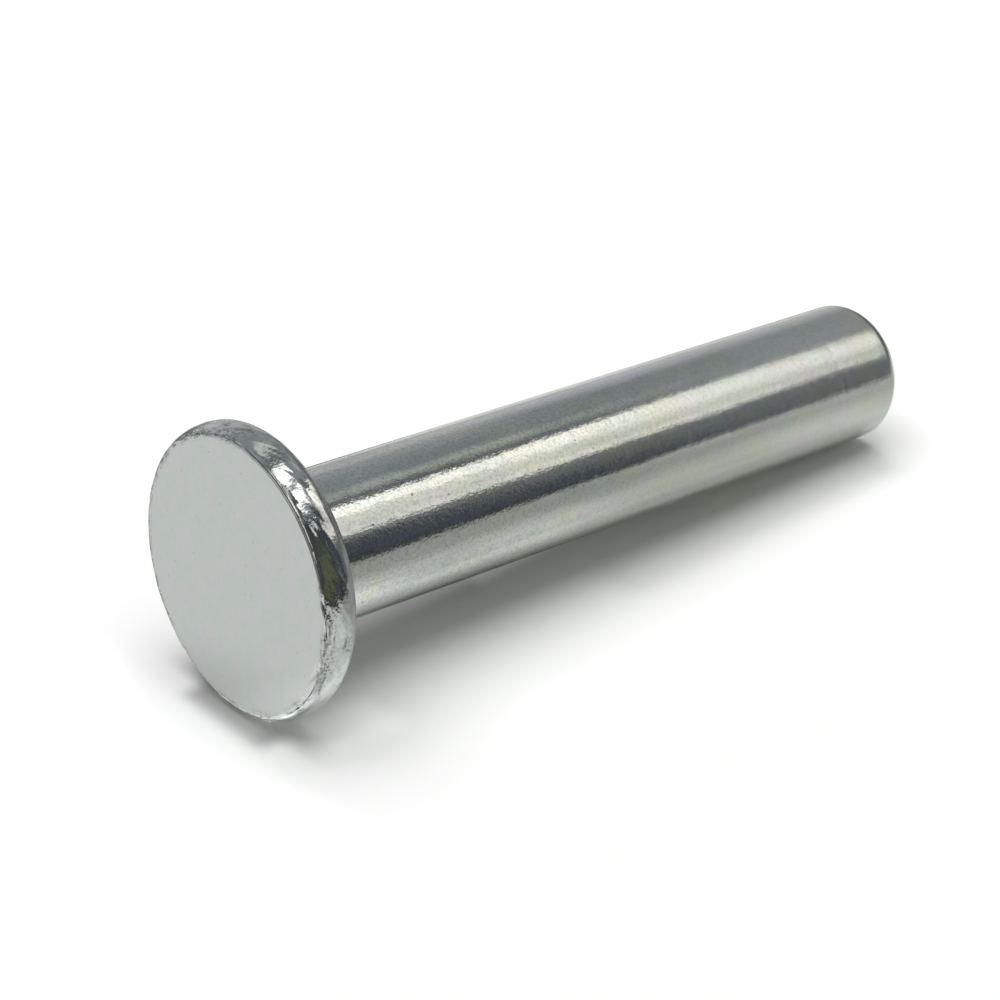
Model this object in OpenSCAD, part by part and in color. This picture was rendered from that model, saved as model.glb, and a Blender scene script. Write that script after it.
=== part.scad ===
// Tubular rivet: a flat round head and a plain shank with a blind hole in its tail, cold
// formed in one piece. It stands on the flat face of its head, with the axis on +Z and the
// origin at the centre of that face. All sizes are in millimetres.

/* [Head] */
// Diameter of the head
head_d = 11.4; // [9:0.1:18]
// Thickness of the head, from its flat face to its seat
head_t = 1.55; // [1.2:0.05:3]
// Radius of the edge round the flat face
face_edge_r = 0.45; // [0.1:0.05:0.8]
// Radius of the edge round the seat
seat_edge_r = 0.6; // [0.1:0.05:0.9]

/* [Shank] */
// Diameter of the shank
shank_d = 6; // [4:0.1:8]
// Length of the shank, from the seat of the head to the tail
shank_l = 32.3; // [16:0.1:60]
// Radius of the fillet between the seat and the shank
neck_r = 0.3; // [0.1:0.05:0.8]

/* [Tail] */
// Thickness of the tube wall round the hole
tail_wall = 0.9; // [0.5:0.05:1.5]
// Depth of the hole, from the tail to where its pointed bottom starts
hole_depth = 9; // [4:0.5:14]
// Full angle of the pointed bottom of the hole
point_angle = 118; // [90:1:150]
// Width of the chamfer round the mouth of the hole
mouth_chamfer = 0.1; // [0.05:0.05:0.3]
// Width of the flat ring between that chamfer and the rounded outer edge
tail_land = 0.1; // [0.05:0.05:0.3]

/* [Hidden] */
$fn = 128;
zinc = [0.74, 0.76, 0.75];
head_r = head_d / 2;
shank_r = shank_d / 2;
overall_l = head_t + shank_l;
hole_r = shank_r - tail_wall;
tail_edge_r = tail_wall - mouth_chamfer - tail_land;
point_h = hole_r / tan(point_angle / 2);
// Length by which a cut runs past the face it opens through
cut_past = 1;

// The waste outside a rounded corner, with the round's centre at the origin
module corner_waste(r) {
    difference() {
        square(r + cut_past);
        circle(r);
    }
}

// Half section of the head, rounded at both ends of its rim
module head_section() {
    difference() {
        square([head_r, head_t]);
        translate([head_r - face_edge_r, face_edge_r])
            mirror([0, 1])
                corner_waste(face_edge_r);
        translate([head_r - seat_edge_r, head_t - seat_edge_r])
            corner_waste(seat_edge_r);
    }
}

// Half section of the shank, rounded at the outer edge of its tail
module shank_section() {
    difference() {
        square([shank_r, overall_l]);
        translate([shank_r - tail_edge_r, overall_l - tail_edge_r])
            corner_waste(tail_edge_r);
    }
}

// Half section of the fillet that fills the corner between the seat and the shank
module neck_section() {
    translate([shank_r, head_t])
        difference() {
            square(neck_r);
            translate([neck_r, neck_r])
                circle(neck_r);
        }
}

// The blind hole: a straight bore with a pointed bottom and a chamfered mouth
module tail_hole() {
    translate([0, 0, overall_l - hole_depth]) {
        cylinder(r = hole_r, h = hole_depth + cut_past);
        mirror([0, 0, 1])
            cylinder(r1 = hole_r, r2 = 0, h = point_h);
    }
    translate([0, 0, overall_l - mouth_chamfer])
        cylinder(r1 = hole_r, r2 = hole_r + mouth_chamfer + cut_past, h = mouth_chamfer + cut_past);
}

module rivet() {
    color(zinc)
        difference() {
            rotate_extrude() {
                head_section();
                neck_section();
                shank_section();
            }
            tail_hole();
        }
}

rivet();
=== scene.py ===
"""Looks of the tubular rivet: bright zinc plate on cold-formed steel, in a plain white studio.

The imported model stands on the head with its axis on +Z. The studio's floor is the plane that the
rim and the tail touch from the side, so the rivet lies on it. Lengths are in metres, apart from
the tables and the values marked as millimetres.
"""
import math

import bmesh
import bpy
from mathutils import Matrix, Vector, noise


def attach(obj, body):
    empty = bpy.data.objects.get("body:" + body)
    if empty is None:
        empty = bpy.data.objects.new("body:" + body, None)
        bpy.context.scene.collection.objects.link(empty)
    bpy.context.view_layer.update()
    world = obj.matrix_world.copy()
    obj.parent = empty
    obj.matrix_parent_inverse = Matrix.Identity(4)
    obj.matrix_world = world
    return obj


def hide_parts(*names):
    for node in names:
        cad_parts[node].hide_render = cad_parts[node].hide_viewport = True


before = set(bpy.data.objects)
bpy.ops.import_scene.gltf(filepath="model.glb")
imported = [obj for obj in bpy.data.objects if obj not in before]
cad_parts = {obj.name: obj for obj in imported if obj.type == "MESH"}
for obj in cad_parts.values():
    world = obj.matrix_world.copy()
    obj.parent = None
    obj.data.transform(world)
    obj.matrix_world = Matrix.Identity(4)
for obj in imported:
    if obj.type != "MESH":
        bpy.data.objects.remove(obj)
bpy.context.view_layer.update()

MM = 0.001
MICRON = 1e-6

# ---------------------------------------------------------------- the rivet's form, millimetres

HEAD_R, HEAD_T = 5.7, 1.55
CREASE_R, CREASE_UP = 5.40, 0.21
CREASE_ROUND, RIM_ROUND = 0.08, 0.62
SEAT_ROUND, NECK_ROUND, TAIL_ROUND = 0.6, 0.3, 0.7
SHANK_R, OVERALL_L = 3.0, 33.85
HOLE_R, HOLE_DEPTH, POINT_ANGLE = 2.1, 9.0, 118.0
POINT_H = HOLE_R / math.tan(math.radians(POINT_ANGLE / 2))
MOUTH_CHAMFER = 0.1
RING_MARK_Z, RING_MARK_W, RING_MARK_D = 30.2, 0.3, 0.004

# The face ends in a crease at CREASE_R. From there a cone and a round lead over to the rim.
# Corners of the half section from the middle of the face to the point of the hole: radius, height,
# round on the corner, segments of that round, and spacing of the rings up to the next corner
SECTION = (
    (0.0, 0.0, 0.0, 0, 0.4),
    (CREASE_R - 0.4, 0.0, 0.0, 0, 0.06),
    (CREASE_R, 0.0, CREASE_ROUND, 3, 0.03),
    (HEAD_R, CREASE_UP, RIM_ROUND, 16, 0.06),
    (HEAD_R, HEAD_T, SEAT_ROUND, 18, 0.4),
    (SHANK_R, HEAD_T, NECK_ROUND, 6, 0.36),
    (SHANK_R, RING_MARK_Z - RING_MARK_W / 2, 0.0, 0, 0.1),
    (SHANK_R - RING_MARK_D, RING_MARK_Z, 0.0, 0, 0.1),
    (SHANK_R, RING_MARK_Z + RING_MARK_W / 2, 0.0, 0, 0.36),
    (SHANK_R, OVERALL_L, TAIL_ROUND, 12, 0.1),
    (HOLE_R + MOUTH_CHAMFER, OVERALL_L, 0.0, 0, 0.1),
    (HOLE_R, OVERALL_L - MOUTH_CHAMFER, 0.0, 0, 0.9),
    (HOLE_R, OVERALL_L - HOLE_DEPTH, 0.0, 0, 0.9),
    (0.0, OVERALL_L - HOLE_DEPTH - POINT_H, 0.0, 0, 0.0),
)
AROUND = 400  # steps round the axis
MERGE_MM = 1e-5  # doubles nearer than this are one vertex


def object_from(bm, name):
    """Puts a finished bmesh into the scene as an object at the origin."""
    mesh = bpy.data.meshes.new(name)
    bm.to_mesh(mesh)
    bm.free()
    piece = bpy.data.objects.new(name, mesh)
    bpy.context.scene.collection.objects.link(piece)
    return piece


def draw_section(bm):
    """Draws the half section in the XZ plane, rounds its corners and cuts it into rings."""
    spacing = bm.edges.layers.float.new("ring_spacing")
    corners = [bm.verts.new((r, 0.0, z)) for r, z, *_ in SECTION]
    for a, b, (*_, ring_step) in zip(corners, corners[1:], SECTION):
        bm.edges.new((a, b))[spacing] = ring_step
    for corner, (_, _, radius, segments, _) in zip(corners, SECTION):
        if radius:
            bmesh.ops.bevel(
                bm, geom=[corner], offset=radius, offset_type="OFFSET", segments=segments,
                profile=0.5, affect="VERTICES", material=-1)
    for edge in list(bm.edges):
        cuts = int(edge.calc_length() / edge[spacing])
        if cuts:
            bmesh.ops.subdivide_edges(bm, edges=[edge], cuts=cuts)


def spin_body(bm):
    """Spins the section once round the axis and closes its poles."""
    bmesh.ops.spin(
        bm, geom=bm.verts[:] + bm.edges[:], cent=(0, 0, 0), axis=(0, 0, 1),
        angle=math.tau, steps=AROUND, use_merge=True)
    bmesh.ops.remove_doubles(bm, verts=bm.verts[:], dist=MERGE_MM)
    bmesh.ops.recalc_face_normals(bm, faces=bm.faces[:])


# Dents left by forming and tumbling: depth, length along the axis and length round it
RIM_LUMPS = ((0.050, 0.8, 0.55), (0.012, 0.28, 0.32))
RIM_TWIST = 0.35  # lean of the rim's dents round the head, radians a millimetre
SHANK_LUMPS = ((0.008, 5.0, 1.5), (0.003, 1.2, 0.8))
# Nicks round the crease: depth, width, length in widths, and size of the patches they gather in
NICK_D, NICK_CELL, NICK_STRETCH, NICK_PATCH = 0.06, 0.20, 2.4, 1.4
RUBBED = (0.643, -0.766, 0.0)  # middle of the part of the rim that was rubbed smooth
RUBBED_NICKS = (4.9, 4.0)  # how far towards that middle no nick is left, and where all are
SCUFFED = (0.993, 0.122, 0.0)  # middle of the part that is scuffed most


def smooth(value, low, high):
    """0 at low and beyond it, 1 at high and beyond it."""
    share = min(1.0, max(0.0, (value - low) / (high - low)))
    return share * share * (3.0 - 2.0 * share)


def lump(co, lumps, twist=0.0):
    """Depth of the dents at a point, from 0 to the sum of the depths."""
    turned = Matrix.Rotation(-twist * co.z, 3, "Z") @ co
    total = 0.0
    for depth, along, across in lumps:
        place = Vector((turned.x / across, turned.y / across, turned.z / along))
        total += depth * (0.5 + 0.5 * max(-1.0, min(1.0, noise.noise(place))))
    return total


def nick(co, r):
    """Depth of the nicks at a point of the head at radius r."""
    round_rim = co.xy.normalized() * (HEAD_R / NICK_STRETCH)
    place = Vector((round_rim.x, round_rim.y, co.z + r)) / NICK_CELL
    share = smooth(noise.noise(place), 0.0, 0.5)
    share *= smooth(noise.noise(co / NICK_PATCH), -0.3, 0.1)
    share *= smooth(co.dot(Vector(RUBBED)), *RUBBED_NICKS)
    near_crease = smooth(r, CREASE_R - 0.25, CREASE_R) * smooth(co.z, 0.2, 0.02)
    return NICK_D * share * near_crease


def dent_surface(bm):
    """Gives the rim of the head and the outside of the shank their uneven surface."""
    bm.normal_update()
    moves = []
    for v in bm.verts:
        r = math.hypot(v.co.x, v.co.y)
        if v.co.z < HEAD_T - 0.01 and r > CREASE_R - 0.3:
            depth = lump(v.co, RIM_LUMPS, RIM_TWIST) * smooth(r, CREASE_R - 0.1, CREASE_R + 0.15)
            moves.append((v, v.normal * -(depth + nick(v.co, r))))
        elif v.co.z > HEAD_T + 0.5 and r > SHANK_R - 0.1:
            moves.append((v, v.normal * -lump(v.co, SHANK_LUMPS)))
    for v, move in moves:
        v.co += move


def rivet_body():
    bm = bmesh.new()
    draw_section(bm)
    spin_body(bm)
    dent_surface(bm)
    bmesh.ops.scale(bm, vec=(MM, MM, MM), verts=bm.verts[:])
    for face in bm.faces:
        face.smooth = True
    return object_from(bm, "rivet_body")


# ---------------------------------------------------------------- nodes

def add(tree, kind, values=(), **settings):
    """Adds a node, sets its properties, and links or fills its inputs by name or number."""
    node = tree.nodes.new(kind)
    for name, value in settings.items():
        setattr(node, name, value)
    for socket, value in dict(values).items():
        if isinstance(value, bpy.types.NodeSocket):
            tree.links.new(value, node.inputs[socket])
        else:
            node.inputs[socket].default_value = value
    return node


def calc(tree, operation, a, b=0.0):
    return add(tree, "ShaderNodeMath", {0: a, 1: b}, operation=operation).outputs[0]


def times(tree, first, *others):
    for other in others:
        first = calc(tree, "MULTIPLY", first, other)
    return first


def vector(tree, operation, a, b=(0.0, 0.0, 0.0)):
    return add(tree, "ShaderNodeVectorMath", {0: a, 1: b}, operation=operation).outputs


def step(tree, value, low, high, at_low=0.0, at_high=1.0):
    """A smooth step of value between low and high."""
    return add(
        tree, "ShaderNodeMapRange",
        {"Value": value, "From Min": low, "From Max": high, "To Min": at_low, "To Max": at_high},
        interpolation_type="SMOOTHSTEP").outputs["Result"]


def step_mm(tree, value, low, high, at_low=0.0, at_high=1.0):
    return step(tree, value, low * MM, high * MM, at_low, at_high)


def band(tree, value, low, high, soft):
    """1 between low and high, falling to 0 over soft at both ends."""
    rise = step(tree, value, low - soft / 2, low + soft / 2)
    fall = step(tree, value, high - soft / 2, high + soft / 2, 1.0, 0.0)
    return times(tree, rise, fall)


def blend_colour(tree, share, a, b):
    node = add(tree, "ShaderNodeMix", {"Factor": share}, data_type="RGBA")
    for name, value in (("A_Color", a), ("B_Color", b)):
        socket = next(s for s in node.inputs if s.identifier == name)
        if isinstance(value, bpy.types.NodeSocket):
            tree.links.new(value, socket)
        else:
            socket.default_value = value
    return next(s for s in node.outputs if s.identifier == "Result_Color")


PLAIN = (1.0, 1.0, 1.0)


def grey(value, tint=PLAIN):
    return tuple(value * t for t in tint) + (1.0,)


# ---------------------------------------------------------------- zinc plate

ZINC_GREEN = (0.605, 0.655, 0.620, 1.0)
ZINC_VIOLET = (0.640, 0.635, 0.655, 1.0)
ZINC_GOLD = (0.642, 0.655, 0.580, 1.0)
ZINC_DULL = (0.47, 0.50, 0.49, 1.0)
PIT_DARK = (0.10, 0.11, 0.10, 1.0)
STAIN_BROWN = (0.34, 0.33, 0.30, 1.0)
BORE_DULL = (0.36, 0.37, 0.36, 1.0)
# Painted shade on the back of the head and its round edge, towards the corner at the neck
SEAT_PAINTED_SHADE = (0.40, 0.41, 0.41, 1.0)

# Unevenness of the plate: height in thousandths of a millimetre, and its cell in millimetres
GRAIN_UP, GRAIN_CELL = 4.0, 0.10
PEEL_UP, PEEL_CELL = 7.0, 0.45
DRAWN_UP, DRAWN_CELL = 1.5, 0.12
RIM_PEEL_UP, RIM_PEEL_CELL = 4.0, 0.19
PIT_DOWN = 6.0
UNEVEN_ON_FACE = 0.25  # share of it left on the face, which was pressed flat
# Pits: cell and size in millimetres, and the share of the cells that hold one
SPARSE_PITS = (0.4, 0.06, 0.5)
CLOSE_PITS = (0.12, 0.075, 0.85)
LONG_PITS = (0.13, 0.10, 0.6)
LONG_PIT_STRETCH = 3.0  # their length round the head, in widths
COVERED = 0.7  # how much of the zinc's colour a pit, the bore and the painted shade at the seat hide
ROUGH_AT_HEAD, ROUGH_AT_TAIL = 0.09, 0.21
BORE_ROUGHER, SEAT_ROUGHER = 0.2, 0.3


class Plate:
    """Says where on the rivet a point of the plate lies, and lays patterns there."""

    def __init__(self, tree):
        self.tree = tree
        self.place = add(tree, "ShaderNodeTexCoord").outputs["Object"]
        axes = add(tree, "ShaderNodeSeparateXYZ", {0: self.place}).outputs
        self.height = axes["Z"]
        self.radius = calc(tree, "SQRT", calc(
            tree, "ADD", calc(tree, "POWER", axes["X"], 2.0), calc(tree, "POWER", axes["Y"], 2.0)))
        # 0 on the flat of the face, 1 past its crease
        self.rolled = step_mm(tree, self.height, 0.0, 0.03)
        # Marks laid by this place are long round the head
        shrink = calc(tree, "DIVIDE", HEAD_R / LONG_PIT_STRETCH * MM, self.radius)
        self.round_rim = add(tree, "ShaderNodeCombineXYZ", {
            "X": times(tree, axes["X"], shrink), "Y": times(tree, axes["Y"], shrink),
            "Z": calc(tree, "ADD", self.height, self.radius)}).outputs[0]

    def off_face(self, on_face):
        """1 all over, apart from the given share on the face."""
        return step(self.tree, self.rolled, 0.0, 1.0, on_face, 1.0)

    def towards(self, middle):
        """How far the point lies towards a side of the rivet."""
        return vector(self.tree, "DOT_PRODUCT", self.place, middle)["Value"]

    def drawn_out(self, share):
        """The place with its height cut to a share, so that marks are long along the axis."""
        return vector(self.tree, "MULTIPLY", self.place, (1.0, 1.0, share))[0]

    def pattern(self, kind, cell_mm, where, values=()):
        """A texture with cells of the given size, on the object's place or another."""
        place = self.place if where is None else where
        settings = {"Vector": place, "Scale": 1 / (cell_mm * MM)}
        return add(self.tree, kind, {**settings, **dict(values)}).outputs

    def cloud(self, cell_mm, detail=1.0, where=None):
        return self.pattern("ShaderNodeTexNoise", cell_mm, where, {"Detail": detail})["Fac"]

    def pits(self, cell_mm, size_mm, kept, where=None):
        """Dots of up to size_mm, in the given share of the cells."""
        spots = self.pattern("ShaderNodeTexVoronoi", cell_mm, where)
        size = size_mm / cell_mm
        dot = step(self.tree, spots["Distance"], size * 0.3, size, 1.0, 0.0)
        chosen = add(self.tree, "ShaderNodeSeparateColor", {0: spots["Color"]}).outputs[0]
        return times(self.tree, dot, step(self.tree, chosen, 1 - kept, 1.4 - kept))


def worn_crease(plate):
    """Share of wear round the crease of the face and on the rim, in patches.

    One side is scuffed all along, and a quarter of the round was rubbed smooth.
    """
    tree = plate.tree
    scuffs = times(
        tree, step_mm(tree, plate.towards(SCUFFED), 5.0, 5.35),
        step_mm(tree, plate.height, 0.25, 0.5, 1.0, 0.15))
    patches = calc(tree, "MAXIMUM", step(tree, plate.cloud(1.1), 0.40, 0.54), scuffs)
    return times(
        tree, step_mm(tree, plate.radius, 5.1, 5.4), patches,
        step_mm(tree, plate.towards(RUBBED), 4.1, 4.9, 1.0, 0.12))


def pitting(plate, crease):
    """Pits lie thinly everywhere and closely round the crease."""
    tree = plate.tree
    thin = times(tree, plate.pits(*SPARSE_PITS), step_mm(
        tree, plate.height, 10, 22, plate.off_face(0.35), 0.3))
    close = calc(
        tree, "MAXIMUM", plate.pits(*CLOSE_PITS), plate.pits(*LONG_PITS, plate.round_rim))
    return calc(tree, "MAXIMUM", thin, times(tree, close, crease))


def grain_share(plate):
    """The grain is coarsest under the head and fades towards the tail."""
    tree = plate.tree
    return calc(
        tree, "SUBTRACT", step_mm(tree, plate.height, 1.6, 2.4, 1.0, 1.5),
        step_mm(tree, plate.height, 6, 25, 0.0, 1.05))


def uneven_plate(plate, grain, pitted):
    """Normal of the plate: grain, orange peel, faint draw lines along the axis, and pits."""
    tree = plate.tree
    height = 0.0
    for cloud, up in (
            (plate.cloud(GRAIN_CELL, 2.0), times(tree, grain, GRAIN_UP)),
            (plate.cloud(PEEL_CELL), PEEL_UP),
            (plate.cloud(DRAWN_CELL, where=plate.drawn_out(0.06)), DRAWN_UP),
            (plate.cloud(RIM_PEEL_CELL), step_mm(tree, plate.radius, 5.3, 5.5, 0.0, RIM_PEEL_UP))):
        height = calc(tree, "ADD", height, times(tree, cloud, up))
    height = times(tree, height, plate.off_face(UNEVEN_ON_FACE))
    height = calc(tree, "SUBTRACT", height, times(tree, pitted, PIT_DOWN))
    return add(
        tree, "ShaderNodeBump", {"Height": height, "Strength": 1.0, "Distance": MICRON}
    ).outputs["Normal"]


def clouded_plate(plate, grain, crease, pitted, bore, seat):
    """Colour of the plate: clouds of green, violet and gold, dull grain, stains, pits, the dull
    bore, and painted shade round the seat.
    """
    tree = plate.tree
    violet = times(tree, step(tree, plate.cloud(1.3, 3.0), 0.38, 0.62), plate.off_face(0.65))
    gold = times(
        tree, step(tree, plate.cloud(1.7, 3.0), 0.44, 0.64),
        step_mm(tree, plate.height, 1.0, 2.2, 0.1, 1.0))
    fine = step(tree, plate.cloud(0.13, 2.0), 0.42, 0.70, 0.0, 0.65)
    streaks = step(tree, plate.cloud(0.55, 2.0, plate.drawn_out(0.12)), 0.4, 0.7, 0.0, 0.4)
    dull = times(tree, calc(tree, "ADD", fine, streaks), grain, plate.off_face(0.2))
    stained = times(
        tree, crease, step(tree, plate.cloud(0.15, 2.0, plate.round_rim), 0.50, 0.60, 0.0, 0.6))
    colour = ZINC_GREEN
    for share, layer in (
            (violet, ZINC_VIOLET), (gold, ZINC_GOLD), (dull, ZINC_DULL), (stained, STAIN_BROWN),
            (times(tree, pitted, COVERED), PIT_DARK), (times(tree, bore, COVERED), BORE_DULL),
            (times(tree, seat, COVERED), SEAT_PAINTED_SHADE)):
        colour = blend_colour(tree, share, colour, layer)
    return colour


def plate_roughness(plate, bore, seat):
    """Brightest at the head, and matt in the bore and round the seat."""
    tree = plate.tree
    rough = step_mm(tree, plate.height, 8, 32, ROUGH_AT_HEAD, ROUGH_AT_TAIL)
    for more in (
            step(tree, plate.cloud(0.9, 2.0), 0.3, 0.7, -0.02, 0.03),
            times(tree, bore, BORE_ROUGHER), times(tree, seat, SEAT_ROUGHER)):
        rough = calc(tree, "ADD", rough, more)
    return rough


def zinc_plate():
    """Bright zinc with a fine grain, a soft orange peel, clouded tints and small dark pits."""
    material = bpy.data.materials.new("zinc_plate")
    material.use_nodes = True
    tree = material.node_tree
    shader = tree.nodes["Principled BSDF"]
    shader.inputs["Metallic"].default_value = 1.0
    shader.inputs["Specular Tint"].default_value = (0.8, 0.8, 0.8, 1.0)
    plate = Plate(tree)
    crease = worn_crease(plate)
    pitted = pitting(plate, crease)
    grain = grain_share(plate)
    # Little zinc reaches the bore. Round the seat, on the back of the head and its round edge, the
    # plate is matt and its colour is darkened as painted shade
    bore = times(
        tree, step_mm(tree, plate.radius, HOLE_R + 0.02, HOLE_R + MOUTH_CHAMFER, 1.0, 0.0),
        step_mm(tree, plate.height, 20, 21))
    seat = times(
        tree, step_mm(tree, plate.radius, SHANK_R + NECK_ROUND, SHANK_R + 2 * NECK_ROUND),
        step_mm(tree, plate.height, HEAD_T - SEAT_ROUND, 1.2))
    for name, value in (
            ("Normal", uneven_plate(plate, grain, pitted)),
            ("Base Color", clouded_plate(plate, grain, crease, pitted, bore, seat)),
            ("Roughness", plate_roughness(plate, bore, seat))):
        tree.links.new(value, shader.inputs[name])
    return material


# ---------------------------------------------------------------- floor

# The floor's plane touches the round of the seat's edge and the round of the tail
TAIL_DROP = (HEAD_R - SEAT_ROUND) - (SHANK_R - TAIL_ROUND)
TAIL_RUN = (OVERALL_L - TAIL_ROUND) - (HEAD_T - SEAT_ROUND)
FLOOR_TILT = math.atan2(TAIL_DROP, TAIL_RUN) - math.asin(
    (TAIL_ROUND - SEAT_ROUND) / math.hypot(TAIL_RUN, TAIL_DROP))
FLOOR_NORMAL = Vector((0.0, -math.cos(FLOOR_TILT), -math.sin(FLOOR_TILT)))
FLOOR_REACH = MM * (
    (HEAD_R - SEAT_ROUND) * math.cos(FLOOR_TILT) + (HEAD_T - SEAT_ROUND) * math.sin(FLOOR_TILT)
    + SEAT_ROUND)  # from the origin to the floor
FLOOR_SIZE = 1.2
# Distances from the origin between which the sheet turns a brighter white, and between which it
# gives way to the white of the world
BRIGHTER_FROM, GONE_FROM = (20, 70), (90, 160)
NEAR_WHITE, FAR_WHITE = grey(1.08), grey(1.5)  # as the camera sees it
SHEET_WHITE = grey(0.8)  # as it throws light back

CREAM = (1.0, 1.0, 0.96)
GREENISH = (1.0, 1.01, 0.96)


def span(low, high, soft, share=1.0):
    """Knots of a share that holds between low and high and is 0 outside."""
    half = soft / 2
    return (low - half, 0.0), (low + half, share), (high - half, share), (high + half, 0.0)


EVERYWHERE = ((0.0, 1.0),)

# Patches of painted light and shade on the sheet, the later rows over the earlier: their shares
# across the rivet and along it as knots of millimetres and share, then strength and tint.
# As the shank mirrors it: painted light and shade that show only in the shank's reflection
SHANK_PAINTED_REFLECTION = (
    ("dim middle", EVERYWHERE, span(20, 30, 6, 0.42), 0.45, GREENISH),
    ("pale strip towards the camera", span(0.4, 4.4, 1.2), ((15, 1.0), (21, 0.3)), 1.3, CREAM),
    ("pale strip right below", span(-0.5, 2.8, 1.0), ((16, 0.0), (21, 0.5), (33, 0.5), (37, 1.0)),
     1.65, (1.0, 1.0, 0.97)),
    ("dark strip past it", span(-6, 0.3, 0.8), span(4, 24, 3), 0.58, PLAIN),
    ("open sheet on the far side", ((-30, 0.55), (-10, 0.0)), EVERYWHERE, 1.4, PLAIN),
)
# As the head mirrors it: painted shade that shows only in the head's reflection
HEAD_PAINTED_REFLECTION = (
    ("behind the head", span(-300, -5, 4), span(2, 22, 5), 0.25, PLAIN),
    ("far side", span(-300, -55, 8), span(-60, 60, 8), 0.33, PLAIN),
    ("before the head", ((-34, 0.3), (-22, 1.0)), ((-24, 1.0), (-17, 0.0)), 0.22, PLAIN),
    ("camera side", ((36, 0.0), (58, 1.0)), EVERYWHERE, 0.1, PLAIN),
)
# As the camera sees it: painted shadow under the face, behind the head and beside the tail, and
# painted light in front of the head and beside the rim
PAINTED_SHADE_AND_LIGHT_SEEN = (
    ("in front of the head", span(-9, 9, 1.6), span(-6, -0.9, 1.6), 1.20, PLAIN),
    ("under the face", span(-2.2, 2.8, 1.2), span(-0.6, 0.6, 1.2), 0.47, PLAIN),
    ("beside the rim", span(2.4, 5.0, 1.4), span(1.2, 4.4, 1.4), 1.30, PLAIN),
    ("behind the head", span(-2.6, -0.4, 1.0), span(5.5, 13.0, 1.0), 0.80, PLAIN),
    ("beside the tail", span(1.2, 4.2, 1.6), span(17, 33, 1.6), 0.96, PLAIN),
)


class Sheet:
    """Lays patches of painted light and shade on the floor by their place across and along the
    rivet.
    """

    def __init__(self, tree, place):
        self.tree = tree
        axes = add(tree, "ShaderNodeSeparateXYZ", {0: place}).outputs
        self.across, self.along = axes["X"], axes["Z"]

    def ramp(self, value, knots):
        """Runs smoothly from knot to knot, and on unchanged past the first and the last."""
        share = knots[0][1]
        for (low, at_low), (high, at_high) in zip(knots, knots[1:]):
            if at_high != at_low:
                share = calc(self.tree, "ADD", share, step_mm(
                    self.tree, value, low, high, 0.0, at_high - at_low))
        return share

    def share(self, across, along):
        return times(self.tree, self.ramp(self.across, across), self.ramp(self.along, along))

    def patch(self, under, over, across=EVERYWHERE, along=EVERYWHERE):
        return blend_colour(self.tree, self.share(across, along), under, over)

    def patches(self, under, rows):
        for _, across, along, strength, tint in rows:
            under = self.patch(under, grey(strength, tint), across, along)
        return under

    def painted_reflection_sheet(self):
        """The sheet as the metal mirrors it, with painted light and shade in patches that show only
        in the reflection.
        """
        near = self.patch(grey(0.90, CREAM), grey(0.74, CREAM), along=((34, 0.0), (41, 1.0)))
        open_side = self.patch(grey(0.47, GREENISH), grey(0.70), along=((30, 0.0), (55, 1.0)))
        by_shank = self.patch(near, open_side, across=((3.5, 0.0), (14, 1.0)))
        by_shank = self.patches(by_shank, SHANK_PAINTED_REFLECTION)
        below = self.patch(grey(1.05), grey(1.75), along=((0.4, 0.0), (2.0, 1.0)))
        by_head = self.patch(grey(0.885), below, across=span(-0.5, 6.5, 3))
        sheet = self.patch(by_head, by_shank, along=((3, 0.0), (12, 1.0)))
        return self.painted_light_under_rim(self.patches(sheet, HEAD_PAINTED_REFLECTION))

    def painted_light_under_rim(self, sheet):
        """Painted light on the narrow strip between the rim and its place of contact, seen only in
        the reflection.
        """
        contact = self.patch(grey(3.6), grey(2.5), across=((2.2, 0.0), (3.6, 1.0)))
        light = self.patch(grey(1.35), contact, along=((-0.6, 0.0), (0.2, 1.0)))
        light = self.patch(light, grey(0.85), across=((3.0, 0.0), (6.5, 1.0)))
        strip = calc(
            self.tree, "MAXIMUM", self.share(span(2.0, 11.0, 0.9), span(-2.6, 1.0, 0.6)),
            self.share(span(-1.5, 3.0, 0.9), span(0.0, 1.0, 0.3)))
        return blend_colour(self.tree, strip, sheet, light)


def sheet_material():
    """White sheet, seen from above only, with the lamp's shadow, painted shadow and light to the
    camera, and painted light and shade in the metal's reflection.
    """
    material = bpy.data.materials.new("studio_floor")
    material.use_nodes = True
    tree = material.node_tree
    tree.nodes.clear()
    place = add(tree, "ShaderNodeTexCoord").outputs["Object"]
    path = add(tree, "ShaderNodeLightPath").outputs
    away = vector(tree, "LENGTH", place)["Value"]
    sheet = Sheet(tree, place)
    white = blend_colour(tree, step_mm(tree, away, *BRIGHTER_FROM), NEAR_WHITE, FAR_WHITE)
    # Glossy rays see the sheet with the painted light and shade of its reflection
    colour = blend_colour(tree, path["Is Glossy Ray"], SHEET_WHITE, sheet.painted_reflection_sheet())
    # The camera sees the white with the painted shadow and painted light laid on it
    colour = blend_colour(tree, path["Is Camera Ray"], colour, sheet.patches(white, PAINTED_SHADE_AND_LIGHT_SEEN))
    gone = times(tree, step_mm(tree, away, *GONE_FROM), path["Is Camera Ray"])
    back = add(tree, "ShaderNodeNewGeometry").outputs["Backfacing"]
    diffuse = add(tree, "ShaderNodeBsdfDiffuse", {"Color": colour})
    clear = add(tree, "ShaderNodeBsdfTransparent")
    mix = add(
        tree, "ShaderNodeMixShader",
        {0: calc(tree, "MAXIMUM", back, gone), 1: diffuse.outputs[0], 2: clear.outputs[0]})
    output = add(tree, "ShaderNodeOutputMaterial")
    tree.links.new(mix.outputs[0], output.inputs["Surface"])
    return material


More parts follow.
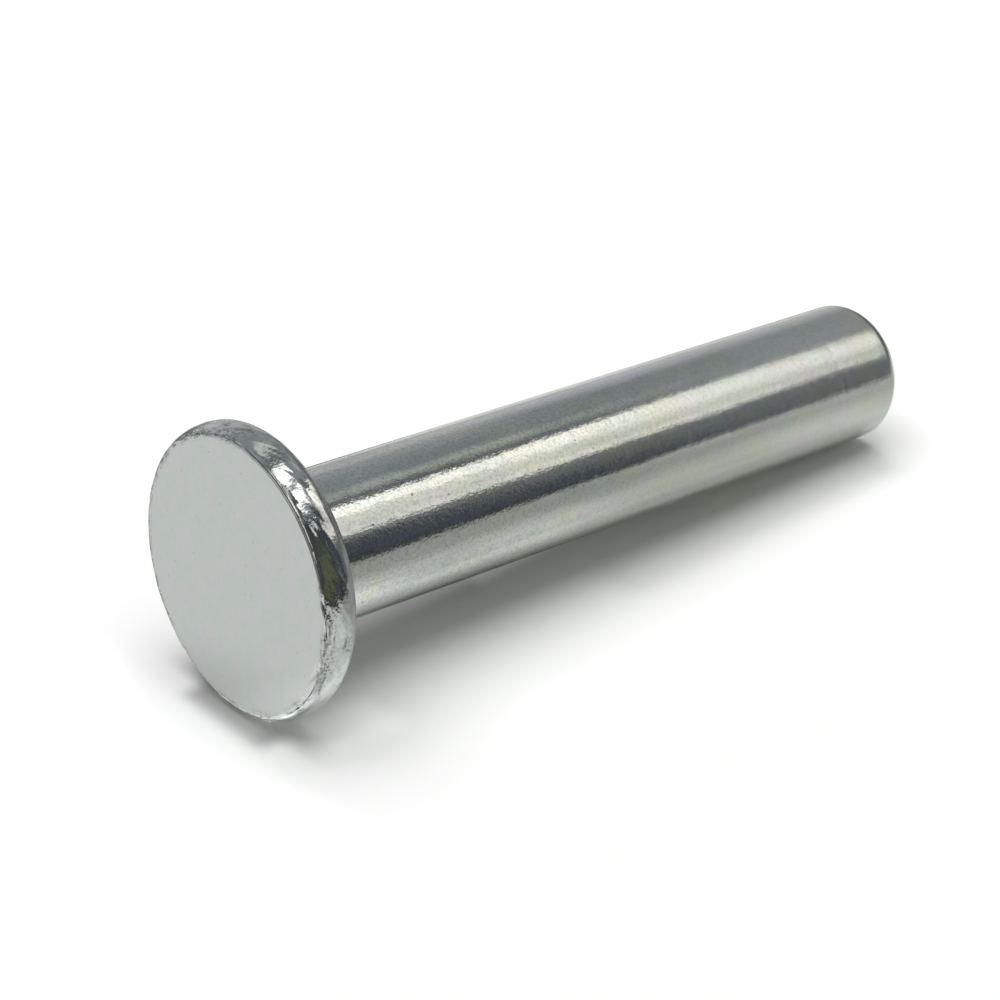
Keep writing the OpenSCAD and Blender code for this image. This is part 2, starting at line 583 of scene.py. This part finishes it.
def studio_floor():
    bm = bmesh.new()
    bmesh.ops.create_grid(bm, x_segments=1, y_segments=1, size=FLOOR_SIZE / 2)
    turn = Vector((0, 0, 1)).rotation_difference(FLOOR_NORMAL).to_matrix().to_4x4()
    bmesh.ops.transform(
        bm, matrix=Matrix.Translation(-FLOOR_NORMAL * FLOOR_REACH) @ turn, verts=bm.verts[:])
    floor = object_from(bm, "studio_floor")
    floor.data.materials.append(sheet_material())


# ---------------------------------------------------------------- room

# What the metal mirrors above the floor, the later rows over the earlier. Azimuth runs round the
# rivet's axis from straight up towards the camera and elevation towards the tail, in degrees:
# azimuths of the two sides where elevation is LEAN_FROM, how far each side leans a degree,
# elevations of the two ends, softness of the sides, strength and tint
LEAN_FROM = 33.0
END_SOFTNESS = 3.0
ROOM_GREY = grey(0.33, (0.93, 1.01, 1.055))
PANELS = (
    # At the elevations that the shank mirrors
    ("far wall", (-130, -67), (0, 0), (-20, 48), 60, 0.83, (0.98, 0.98, 1.03)),
    ("far wall by the head", (-130, -62), (0, 0), (25, 37), 9, 0.68, (0.97, 1.0, 1.0)),
    ("slate by the head", (-64, -31), (0, 0), (25, 37), 26, 0.41, (0.94, 1.01, 1.03)),
    ("slate past the middle", (-52, 8), (0, 0), (39.6, 44.5), 14, 0.29, (0.94, 1.01, 1.04)),
    ("slate by the tail", (-60, 8), (0, 0), (44.5, 60), 14, 0.42, (0.95, 1.0, 1.04)),
    ("light streak", (-16, -5), (0, 0), (31, 39.8), 5, 0.52, (0.96, 1.04, 0.96)),
    ("dark streak", (-1, 12), (0, 0), (31, 42), 4, 0.17, (0.98, 1.0, 1.04)),
    ("camera side", (50, 100), (0, 0), (25, 50), 3, 0.088, (0.88, 1.0, 1.22)),
    ("camera side by the tail", (50, 100), (0, 0), (42, 60), 3, 0.17, (0.89, 1.0, 1.20)),
    ("lit camera side", (30, 58), (2.3, 2.3), (34, 50), 5, 0.20, (0.96, 1.0, 1.0)),
    ("dim panel", (20, 53.5), (0, 0), (25, 50), 4, 0.95, (1.02, 1.0, 0.92)),
    ("dim panel by the tail", (20, 53.5), (0, 0), (41.6, 44.5), 4, 0.82, (1.02, 1.0, 0.92)),
    ("dim panel's streak", (38, 43), (0, 0), (38, 46), 2.5, 0.80, (1.02, 1.0, 0.92)),
    ("dim panel's edge", (46.5, 50), (0, 0), (31, 50), 2.5, 1.15, (1.02, 1.0, 0.92)),
    ("bright panel", (10.8, 21), (-0.5, 1.05), (25, 50), 3.5, 1.6, (1.03, 1.0, 0.92)),
    ("bright panel by the head", (12, 23), (0, 0), (30, 35.5), 4, 1.9, (1.02, 1.0, 0.95)),
    ("bright panel by the tail", (10.8, 21), (-0.5, 1.05), (40.8, 50), 3.5, 1.02, (1.03, 1.0, 0.91)),
    ("panel past the ring mark", (12, 31), (0, 0), (44.5, 52), 5, 1.35, (1.01, 1.0, 0.97)),
    ("thin line", (57, 59), (0.4, 0.4), (31, 36), 2, 0.55, (0.97, 1.0, 1.0)),
    # Beyond them, where the rounds of the rim and of the tail mirror them
    ("dark ceiling", (-75, 70), (0, 0), (52, 95), 20, 0.16, (0.94, 1.0, 1.0)),
    ("front room", (34, 104), (0, 0), (-95, 26), 4, 0.075, (0.92, 1.0, 1.10)),
    ("dark floor in front", (-100, 40), (0, 0), (-95, -47), 12, 0.15, (0.93, 1.0, 1.0)),
    ("low front panel", (-38, 8), (0, 0), (-46, -31), 10, 0.8, (1.0, 1.0, 0.92)),
    ("dark bar", (-20, -14), (0, 0), (-35, 30), 5, 0.14, (0.98, 1.0, 1.06)),
    ("side panel", (-30, -22), (0, 0), (-8, 30), 6, 0.8, (0.97, 1.03, 0.95)),
    ("front panel", (-10, 27), (0, 0), (-29, 19), 5, 2.0, (1.0, 1.0, 0.97)),
    ("front panel's foot", (5, 34), (0, 0), (-33, -19), 5, 0.12, (0.95, 1.0, 1.04)),
    ("front panel's bar", (2.5, 7.5), (-0.1, -0.1), (-32, 19), 3, 0.14, (0.98, 1.0, 1.06)),
    ("front streak", (39, 49), (0, 0), (-12, 6), 4, 1.0, (0.95, 1.0, 0.95)),
    ("green leaf", (60, 100), (0, 0), (-29, 18), 14, 0.13, (0.94, 1.09, 0.64)),
)

# Strength of the world to diffuse surfaces on the far side and on the camera side, and its tint
AMBIENT_FAR, AMBIENT_NEAR = 0.08, 0.24
AMBIENT_TINT = (0.975, 1.02, 0.965)
AMBIENT_TURN = 0.7  # how far to both sides the change between them runs


def mirrored_room(tree, axes):
    """The panels and dark sides of the room, as the metal mirrors them."""
    azimuth = times(
        tree, calc(tree, "ARCTAN2", axes["X"], times(tree, axes["Y"], -1.0)), 180 / math.pi)
    elevation = times(tree, calc(tree, "ARCSINE", axes["Z"]), 180 / math.pi)
    climb = calc(tree, "SUBTRACT", elevation, LEAN_FROM)
    room = ROOM_GREY
    for _, (low, high), (low_lean, high_lean), ends, soft, strength, tint in PANELS:
        past_low = calc(tree, "SUBTRACT", azimuth, times(tree, climb, low_lean))
        past_high = calc(tree, "SUBTRACT", azimuth, times(tree, climb, high_lean))
        share = times(
            tree, step(tree, past_low, low - soft / 2, low + soft / 2),
            step(tree, past_high, high - soft / 2, high + soft / 2, 1.0, 0.0),
            band(tree, elevation, *ends, END_SOFTNESS))
        room = blend_colour(tree, share, room, grey(strength, tint))
    return room


def studio_world():
    """White to the camera, plain and dim to diffuse surfaces, and panels to the metal."""
    world = bpy.data.worlds.new("studio")
    bpy.context.scene.world = world
    world.use_nodes = True
    world.cycles.sampling_method = "NONE"
    tree = world.node_tree
    tree.nodes.clear()
    place = add(tree, "ShaderNodeTexCoord").outputs["Generated"]
    axes = add(tree, "ShaderNodeSeparateXYZ", {0: place}).outputs
    path = add(tree, "ShaderNodeLightPath").outputs
    plain = blend_colour(
        tree, step(tree, axes["X"], -AMBIENT_TURN, AMBIENT_TURN), grey(AMBIENT_FAR, AMBIENT_TINT),
        grey(AMBIENT_NEAR, AMBIENT_TINT))
    colour = blend_colour(tree, path["Is Glossy Ray"], plain, mirrored_room(tree, axes))
    colour = blend_colour(tree, path["Is Camera Ray"], colour, grey(1.0))
    background = add(tree, "ShaderNodeBackground", {"Color": colour, "Strength": 1.0})
    output = add(tree, "ShaderNodeOutputWorld")
    tree.links.new(background.outputs[0], output.inputs["Surface"])


LAMP_AZIMUTH, LAMP_ELEVATION = math.radians(-4.0), math.radians(-10.0)
LAMP_AIM = Vector((0.0, 0.0, 15 * MM))  # near the middle of the shank
LAMP_REACH, LAMP_SIZE = 0.3, 0.38
LAMP_POWER = 0.98  # watts


def overhead_lamp():
    """Soft lamp over the rivet. The metal mirrors the world's panels in its place."""
    flat = math.cos(LAMP_ELEVATION)
    towards = Vector((
        flat * math.sin(LAMP_AZIMUTH), -flat * math.cos(LAMP_AZIMUTH), math.sin(LAMP_ELEVATION)))
    data = bpy.data.lights.new("overhead_lamp", "AREA")
    data.shape = "DISK"
    data.size = LAMP_SIZE
    data.energy = LAMP_POWER
    lamp = bpy.data.objects.new("overhead_lamp", data)
    lamp.location = LAMP_AIM + towards * LAMP_REACH
    lamp.rotation_euler = towards.to_track_quat("Z", "Y").to_euler()
    lamp.visible_camera = False
    lamp.visible_glossy = False
    bpy.context.scene.collection.objects.link(lamp)


CAMERA_PLACE = Vector((69.416, -46.991, -52.241)) * MM
CAMERA_RIGHT = Vector((0.66121, -0.06268, 0.74758))
CAMERA_UP = Vector((-0.37240, -0.89248, 0.25454))
CAMERA_LENS_MM, CAMERA_SENSOR_MM = 96.59, 36.0
CAMERA_CLIP = (0.005, 5.0)


def studio_camera():
    data = bpy.data.cameras.new("camera")
    data.sensor_width = CAMERA_SENSOR_MM
    data.lens = CAMERA_LENS_MM
    data.clip_start, data.clip_end = CAMERA_CLIP
    camera = bpy.data.objects.new("camera", data)
    right = CAMERA_RIGHT.normalized()
    back = right.cross(CAMERA_UP).normalized()
    turn = Matrix((right, back.cross(right), back)).transposed()
    camera.matrix_world = Matrix.Translation(CAMERA_PLACE) @ turn.to_4x4()
    bpy.context.scene.collection.objects.link(camera)
    bpy.context.scene.camera = camera


rivet = rivet_body()
rivet.data.materials.append(zinc_plate())
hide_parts("rivet")
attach(rivet, "root")

studio_floor()
studio_world()
overhead_lamp()
studio_camera()
bpy.context.scene.view_settings.view_transform = "Standard"
